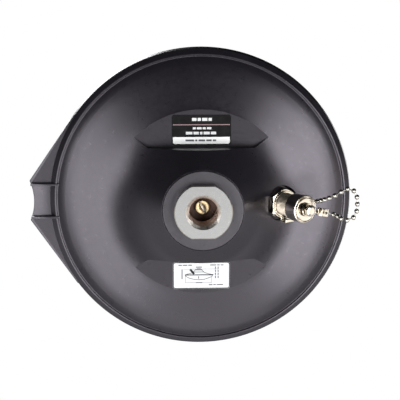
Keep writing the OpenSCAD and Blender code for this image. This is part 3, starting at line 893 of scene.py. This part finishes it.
def ink(name, outlines, material, slot, level):
    """Printed shapes as flat prisms standing just proud of the label film."""
    top = POCKET_Z - 0.2
    low = top - 0.012 * level
    verts, faces = join_parts([prism_mesh(outline, low, top + 0.01) for outline in outlines])
    mesh = bpy.data.meshes.new(name)
    mesh.from_pydata([Vector(v) * MM for v in verts], [], faces)
    mesh.validate()
    bm = bmesh.new()
    bm.from_mesh(mesh)
    bmesh.ops.recalc_face_normals(bm, faces=bm.faces)
    bm.to_mesh(mesh)
    bm.free()
    obj = bpy.data.objects.new(name, mesh)
    bpy.context.scene.collection.objects.link(obj)
    return piece(obj, ROOT, slot, material)


def make_type_label():
    """A black label with a rose rule, a white band, and plain dashes where such labels have words."""
    y = -36.3
    film_plate = prism("type_label_film", label_outline(28.9, 14.8, y, 1.2), POCKET_Z - 0.2, POCKET_Z)
    piece(film_plate, ROOT, "black_label", BLACK_FILM, "type_label")
    # the band is painted lighter than the other white ink: painted light
    band = rounded([(-13.9, y + 3.5, 0), (13.9, y + 3.5, 0), (13.9, y + 6.9, 0.9), (-13.9, y + 6.9, 0.9)], 15)
    ink("type_label_band", [band], BAND_FILM_PAINTED_LIGHT, "white_label", 1)
    ink("type_label_rule", [bar(-13.9, 13.9, y - 2.75, y - 2.35)], PINK_INK, "white_label", 1)
    dashes = []
    for row_y, height, start, lengths in (
        (y - 5.9, 1.5, -4.6, (2.2, 1.6, 2.6, 1.6)),
        (y - 1.3, 1.0, -4.2, (1.4, 2.3, 1.5, 2.2)),
        (y + 0.9, 1.3, -7.6, (3.2, 2.6, 1.2, 3.0, 2.6)),
    ):
        x = start
        for length in lengths:
            dashes.append(bar(x, x + length, row_y, row_y + height))
            x += length + 0.55
    ink("type_label_dashes", dashes, WHITE_FILM, "white_label", 1)
    row, x = [], -7.8
    for length in (4.2, 1.0, 3.2, 2.6, 1.6):
        row.append(bar(x, x + length, y + 4.7, y + 5.6))
        x += length + 0.6
    ink("type_label_small_dashes", row, GREY_INK, "black_label", 2)


def make_drawing_label():
    """A white label with a small profile drawing of the antenna and its dimension lines."""
    y = 37.2
    film_plate = prism("drawing_label_film", label_outline(28.6, 13.8, y, 1.2), POCKET_Z - 0.2, POCKET_Z)
    piece(film_plate, ROOT, "white_label", WHITE_FILM, "drawing_label")
    border_out, border_in = label_outline(28.5, 13.7, y, 1.2), label_outline(27.7, 12.9, y, 0.9)
    count = len(border_out)
    ring = [
        [border_out[k], border_out[(k + 1) % count], border_in[(k + 1) % count], border_in[k]]
        for k in range(count)
    ]
    ink("drawing_label_border", ring, DARK_INK, "black_label", 1)

    def lines(points, width):
        return polyline([(x, y + down) for x, down in points], width)

    # the drawn antenna, with its dome below and its connector at the upper left
    dome = [
        (-8, -0.2), (-7.7, 0.5), (-6, 1.4), (-3.6, 2.05), (-1.1, 2.25), (1.4, 2.05), (3.35, 1.4), (5.3, 0.6),
        (5.6, -0.2),
    ]
    right_flank = [(0.15, -2.9), (1.4, -1.65), (2.4, -1.2), (4.8, -0.55)]
    left_flank = [(-3.05, -2.8), (-4.2, -1.6), (-5.2, -1.2), (-7.5, -0.6)]
    dark = lines([(-3.05, -2.9), (0.15, -2.9)], 0.4) + lines([(-4, -1.2), (-5.3, -2.8)], 1.1)
    dark += lines([(4.3, -0.3), (5.8, -0.3)], 0.45) + lines([(-1.4, 0.6), (-1.4, 1.5)], 0.35)
    dark += lines([(-2.4, 3.7), (0.2, 3.7)], 0.5)
    ink("drawing_label_marks", dark, DARK_INK, "black_label", 3)
    profile = lines(dome, 0.3) + lines(right_flank, 0.3) + lines(left_flank, 0.3)
    profile += lines([(-8, -0.3), (5.6, -0.3)], 0.6) + lines([(-3.3, -1.8), (1.1, -1.8)], 0.3)
    profile += lines([(-2.5, -4.3), (0, -4.3)], 0.5) + lines([(-2.2, -3.6), (-0.3, -3.6)], 0.3)
    ink("drawing_label_profile", profile, GREY_INK, "black_label", 2)
    thin = lines([(-9, -3.3), (8.3, -3.3)], 0.2) + lines([(-8, 3.7), (5, 3.7)], 0.2)
    thin += lines([(-8, 0.4), (-8, 3.9)], 0.2) + lines([(5, 0.4), (5, 3.9)], 0.2)
    ink("drawing_label_lines", thin, PALE_INK, "black_label", 4)
    dashes = []
    for x, low, high in ((-9.7, -3, 2.1), (7.05, -4.3, 2.1), (8.4, -4.3, 2.1)):
        for k in range(4):
            start = low + k * (high - low) / 4
            dashes += lines([(x, start), (x, start + 0.75)], 0.5)
    for x, down, lengths in (
        (-11.2, -5.3, (1.2, 1.7, 1.3)), (4.6, -5.35, (2.6, 0.7, 0.9)), (4, 4.85, (1.3, 0.7, 2.6)),
    ):
        for length in lengths:
            dashes += lines([(x, down), (x + length, down)], 0.5)
            x += length + 1
    ink("drawing_label_dashes", dashes, GREY_INK, "black_label", 2)


# ---- connector, cap and chain


def make_jack():
    """Bulkhead jack: flange inside the housing, threaded barrel, and the hollow that takes the plug."""
    turns = angles(96)
    end, cavity = JACK_END, 8.7

    def barrel(z):
        ring = []
        for t in turns:
            depth = thread_depth(z / JACK_PITCH - t / (2 * math.pi), 0.18, 0.12) * 0.5
            fade = min(1, max(0, (end - 0.4 - z) / 0.5), max(0, (z + 2.2) / 0.4))
            r = JACK_R - depth * fade
            ring.append((r * math.cos(t), r * math.sin(t), z))
        return ring

    steps = 140
    rings = [circle(r, z, turns) for r, z in ((2.4, -8.5), (4, -8.5), (4, -4.5), (7.5, -4.5), (7.5, -2.5))]
    seal_groove = ((7, -2.5), (7, -3.4), (6.1, -3.4), (6.1, -2.5), (JACK_R, -2.5))
    rings += [circle(r, z, turns) for r, z in seal_groove]
    rings += [barrel(-2.4 + (end - 0.4 + 2.4) * k / steps) for k in range(steps + 1)]
    for r, z in ((JACK_R - 0.4, end), (4.3, end), (4.1, end - 0.2), (4.1, cavity), (2.4, cavity)):
        rings.append(circle(r, z, turns))
    jack = make_object("jack_barrel", *bridge(rings, closed=True), matrix=ON_CONNECTOR)
    return piece(jack, ROOT, "nickel", THREAD_NICKEL, "jack_body")


def hex_radius(turn, across):
    """Distance from the middle to the side of a hexagon whose flats face the x axis."""
    part = (turn + math.pi / 6) % (math.pi / 3) - math.pi / 6
    return across / 2 / math.cos(part)


def make_nut():
    turns = angles(144)
    across, low, high, face_r = 14, 0, NUT_H, 7.2

    def side(z, sign):
        """The hexagon's edge where the chamfer cone leaves it."""
        ring = []
        for t in turns:
            r = hex_radius(t, across)
            drop = (r - face_r) * math.tan(math.radians(20))
            ring.append((r * math.cos(t), r * math.sin(t), z - sign * drop))
        return ring

    rings = [circle(JACK_R, low + 0.3, turns), circle(JACK_R + 0.3, low, turns), circle(face_r, low, turns)]
    rings += [side(low, -1), side(high, 1), circle(face_r, high, turns)]
    rings += [circle(JACK_R + 0.4, high, turns), circle(JACK_R, high - 0.4, turns)]
    nut = make_object("bulkhead_nut", *bridge(rings, closed=True), matrix=ON_CONNECTOR, sharp=20)
    return piece(nut, ROOT, "nickel", NICKEL, "jack_nut")


def make_cap():
    low, end, face, floor = 12.4, 20.2, 20.8, 17.2
    outline = rounded([
        (5.6, low, 0.2), (6.55, low, 0.25), (CAP_R, low + 0.5, 0.3), (CAP_R, end, 0.5), (6.2, end, 0.15),
        (6.2, end - 0.7, 0), (5.7, end - 0.7, 0), (5.7, face, 0.35), (2.6, face, 0.15), (2.6, 19.4, 0.1),
        (1.4, 19.4, 0), (1.4, floor, 0), (5.6, floor, 0),
    ], 12)
    cap = lathe("screw_cap", outline, 160, ON_CONNECTOR, 28)
    piece(cap, CAP, "nickel", CAP_NICKEL, "dust_cap")
    rivet_outline = rounded([
        (0, 16.6, 0), (2.4, 16.6, 0.1), (2.4, floor, 0), (1.4, floor, 0), (1.4, 23.2, 0.1),
        (2.75, 23.2, 0.15), (2.75, 24.8, 0.5), (1.7, 25.2, 0.8), (0, 25.2, 0),
    ], 12)
    rivet = lathe("swivel_rivet", rivet_outline, 96, ON_CONNECTOR)
    piece(rivet, CAP, "nickel", NICKEL, "cap_rivet")


def strip(points, width, thickness):
    """A flat strip of sheet metal bent along points in a plane of constant x, as (y, z) pairs."""
    rings = []
    for i, here in enumerate(points):
        here = Vector(here)
        before = Vector(points[max(0, i - 1)])
        after = Vector(points[min(len(points) - 1, i + 1)])
        along = (after - before).normalized()
        side = Vector((-along.y, along.x)) * thickness / 2
        low, high = here - side, here + side
        rings.append([
            (-width / 2, low.x, low.y), (width / 2, low.x, low.y),
            (width / 2, high.x, high.y), (-width / 2, high.x, high.y),
        ])
    verts, faces = bridge(rings)
    faces += [(0, 3, 2, 1), tuple(len(verts) - 4 + k for k in range(4))]
    return verts, faces


def make_lug():
    """The washer in front of the nut, its tail bent forward and curled in over the chain's first ball."""
    low, high = NUT_H, NUT_H + 0.8
    middle = (low + high) / 2
    washer = lathe_mesh(
        rounded([(JACK_R, low, 0), (WASHER_R, low, 0.2), (WASHER_R, high, 0.2), (JACK_R, high, 0)], 20), 96
    )
    start, bend_r = 7.6, 1.1
    bend = [(6, middle), (start, middle)]
    for turn in range(15, 91, 15):
        a = math.radians(turn)
        bend.append((start + bend_r * math.sin(a), middle + bend_r - bend_r * math.cos(a)))
    bend += [(8.7, 6.6), (8.7, 7.7)]
    bend += [(8.55, 8.15), (8.2, 8.4), (7.6, 8.4), (7.05, 8.4)]
    lug = make_object("lug_washer", *join_parts([washer, strip(bend, 5, 0.7)]), matrix=ON_CONNECTOR)
    soften(lug, 0.12, 1)
    return piece(lug, ROOT, "nickel", NICKEL, "chain_lug")


def make_eyelet():
    """A ring on the rivet, with a neck and two leaves folded round the chain's last ball."""
    turn = Matrix.Rotation(math.radians(180 - EYELET_TURN), 4, "Z")
    low, high = 21.6, 22.4
    middle = (low + high) / 2
    ring = lathe_mesh([(1.6, low), (3.3, low), (3.3, high), (1.6, high)], 64)
    neck = prism_mesh([(3.0, -1.3), (7.6, -1.1), (7.6, 1.1), (3.0, 1.3)], low, high)
    eyelet = make_object("swivel_eyelet", *join_parts([ring, neck]), matrix=ON_CONNECTOR @ turn)
    soften(eyelet, 0.12, 1)
    half = [(7.3, 1.2), (7.6, 1.75), (11.6, 1.8), (12, 1.5)]
    shell = [(x, middle - z) for x, z in half] + [(x, middle + z) for x, z in half[::-1]]
    verts, faces = prism_mesh(shell, -1.9, 1.9)
    crimp = make_object("crimp", [(x, y, z) for x, z, y in verts], faces, matrix=ON_CONNECTOR @ turn)
    mouth = lathe("mouth", [(0, 0), (1.35, 0), (1.35, 6), (0, 6)], 32)
    place = Matrix.Translation((9 * MM, 0, middle * MM))
    mouth.data.transform(ON_CONNECTOR @ turn @ place @ Matrix.Rotation(math.radians(90), 4, "Y"))
    combine(crimp, mouth, "DIFFERENCE")
    seam = prism("seam", [(6, -0.12), (13, -0.12), (13, 0.12), (6, 0.12)], middle - 3, middle - 1.2)
    seam.data.transform(ON_CONNECTOR @ turn)
    combine(crimp, seam, "DIFFERENCE")
    soften(crimp, 0.25, 2)
    combine(eyelet, crimp, "UNION")
    smooth(eyelet.data, 32)
    return piece(eyelet, SWIVEL, "nickel", NICKEL, "chain_eyelet")


def smooth_point(a, b, c, d, t):
    """Catmull-Rom curve from b to c."""
    return (2 * b + (c - a) * t + (2 * a - 5 * b + 4 * c - d) * t * t + (3 * b - a - 3 * c + d) * t**3) / 2


def curve_through(route, steps=8):
    points = [Vector(p) for p in route]
    last = len(points) - 1
    line = [
        smooth_point(points[max(0, i - 1)], points[i], points[i + 1], points[min(last, i + 2)], k / steps)
        for i in range(last)
        for k in range(steps)
    ]
    return line + [points[last]]


def spaced(line, count):
    """count points at even distances along a line, first and last included."""
    runs = [0.0]
    for a, b in zip(line, line[1:]):
        runs.append(runs[-1] + (b - a).length)
    found, i = [], 0
    for k in range(count):
        want = runs[-1] * k / (count - 1)
        while i < len(line) - 2 and runs[i + 1] < want:
            i += 1
        share = (want - runs[i]) / max(runs[i + 1] - runs[i], 1e-9)
        found.append(line[i].lerp(line[i + 1], min(1, share)))
    return found


def turned_to(direction, place):
    return Matrix.Translation(place) @ direction.to_track_quat("Z", "Y").to_matrix().to_4x4()


def ball_mesh(place, direction):
    """A hollow ball with a small turned-in hole at each end of the chain's direction."""
    hole = math.asin(0.42 / (BALL_D / 2))
    steps = 12
    arc = [hole + (math.pi - 2 * hole) * k / steps for k in range(steps + 1)]
    outline = [(BALL_D / 2 * math.sin(a), -BALL_D / 2 * math.cos(a)) for a in arc]
    inner_z = outline[-1][1] - 0.3
    outline = [(0, -inner_z + 0.05), (0.36, -inner_z)] + outline + [(0.36, inner_z), (0, inner_z - 0.05)]
    verts, faces = lathe_mesh(outline, 24)
    matrix = turned_to(direction, place)
    return [tuple(matrix @ Vector(v)) for v in verts], faces


def link_mesh(a, b):
    """The waisted wire between two balls."""
    length = (b - a).length
    outline = [(0, 0.75), (0.3, 0.75), (0.27, length / 2), (0.3, length - 0.75), (0, length - 0.75)]
    verts, faces = lathe_mesh(outline, 12)
    matrix = turned_to(b - a, a)
    return [tuple(matrix @ Vector(v)) for v in verts], faces


def chain_run(name, balls, before=None, after=None):
    """One run of ball chain; before and after are the neighbouring balls on the other run."""
    row = ([before] if before else []) + balls + ([after] if after else [])
    shift = 1 if before else 0
    parts = []
    for i, place in enumerate(balls, shift):
        direction = row[min(i + 1, len(row) - 1)] - row[max(i - 1, 0)]
        parts.append(ball_mesh(place, direction))
    for a, b in zip(balls, balls[1:] + ([after] if after else [])):
        if a is not b:
            parts.append(link_mesh(a, b))
    return make_object(name, *join_parts(parts), sharp=50)


def line_length(points):
    return sum((b - a).length for a, b in zip(points, points[1:]))


def make_chain():
    """The chain as two runs of one row of balls, one at the lug and one at the cap."""
    whole = curve_through(LUG_RUN + CAP_RUN)
    count = int(line_length(whole) / BALL_PITCH) + 1
    balls = spaced(whole, count)
    split = Vector(LUG_RUN[-1])
    first_of_cap_run = min(range(count), key=lambda i: (balls[i] - split).length) + 1
    lug_balls, cap_balls = balls[:first_of_cap_run], balls[first_of_cap_run:]
    lug_chain = chain_run("ball_chain_at_lug", lug_balls, None, cap_balls[0])
    # the chain's darker nickel is painted shade
    piece(lug_chain, ROOT, "nickel_chain", CHAIN_NICKEL_PAINTED_SHADE, "chain_balls", "chain_links")
    cap_chain = chain_run("ball_chain_at_cap", cap_balls, lug_balls[-1], None)
    cap_chain.data.materials.append(CHAIN_NICKEL_PAINTED_SHADE)
    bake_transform(cap_chain)
    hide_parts("chain_balls", "chain_links")
    whole_fine = spaced(whole, 4 * (count - 1) + 1)


# ---- carried-over CAD nodes


def dress_cad_nodes():
    """Pieces whose CAD shape is right keep it and get their real materials."""
    finishes = {
        "rim_seal": RUBBER, "centre_post": ALUMINIUM, "ground_plane": ALUMINIUM, "plate_screws": ZINC,
        "lower_substrate": SUBSTRATE, "lower_patch": COPPER,
        "upper_substrate": SUBSTRATE, "upper_patch": COPPER,
        "stack_screw": NYLON, "feed_pins": GOLD, "amplifier_board": BOARD, "shield_can": TINPLATE,
        "board_parts": CHIP, "board_spacers": NICKEL, "board_screws": ZINC, "coax_jumper": JACKET,
        "jack_insulator": PTFE, "jack_contact": GOLD, "jack_seal": RUBBER, "cap_gasket": RUBBER,
    }
    for name, material in finishes.items():
        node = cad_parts[name]
        for slot in node.material_slots:
            slot.material = material


# ---- everything

make_camera()
make_chain()
make_world()
bpy.context.scene.view_settings.view_transform = "Standard"
make_lights()
make_floor()
make_backdrop()
make_housing()
make_radome()
make_insert()
make_centre_screw()
make_type_label()
make_drawing_label()
make_jack()
make_nut()
make_cap()
make_lug()
make_eyelet()
dress_cad_nodes()
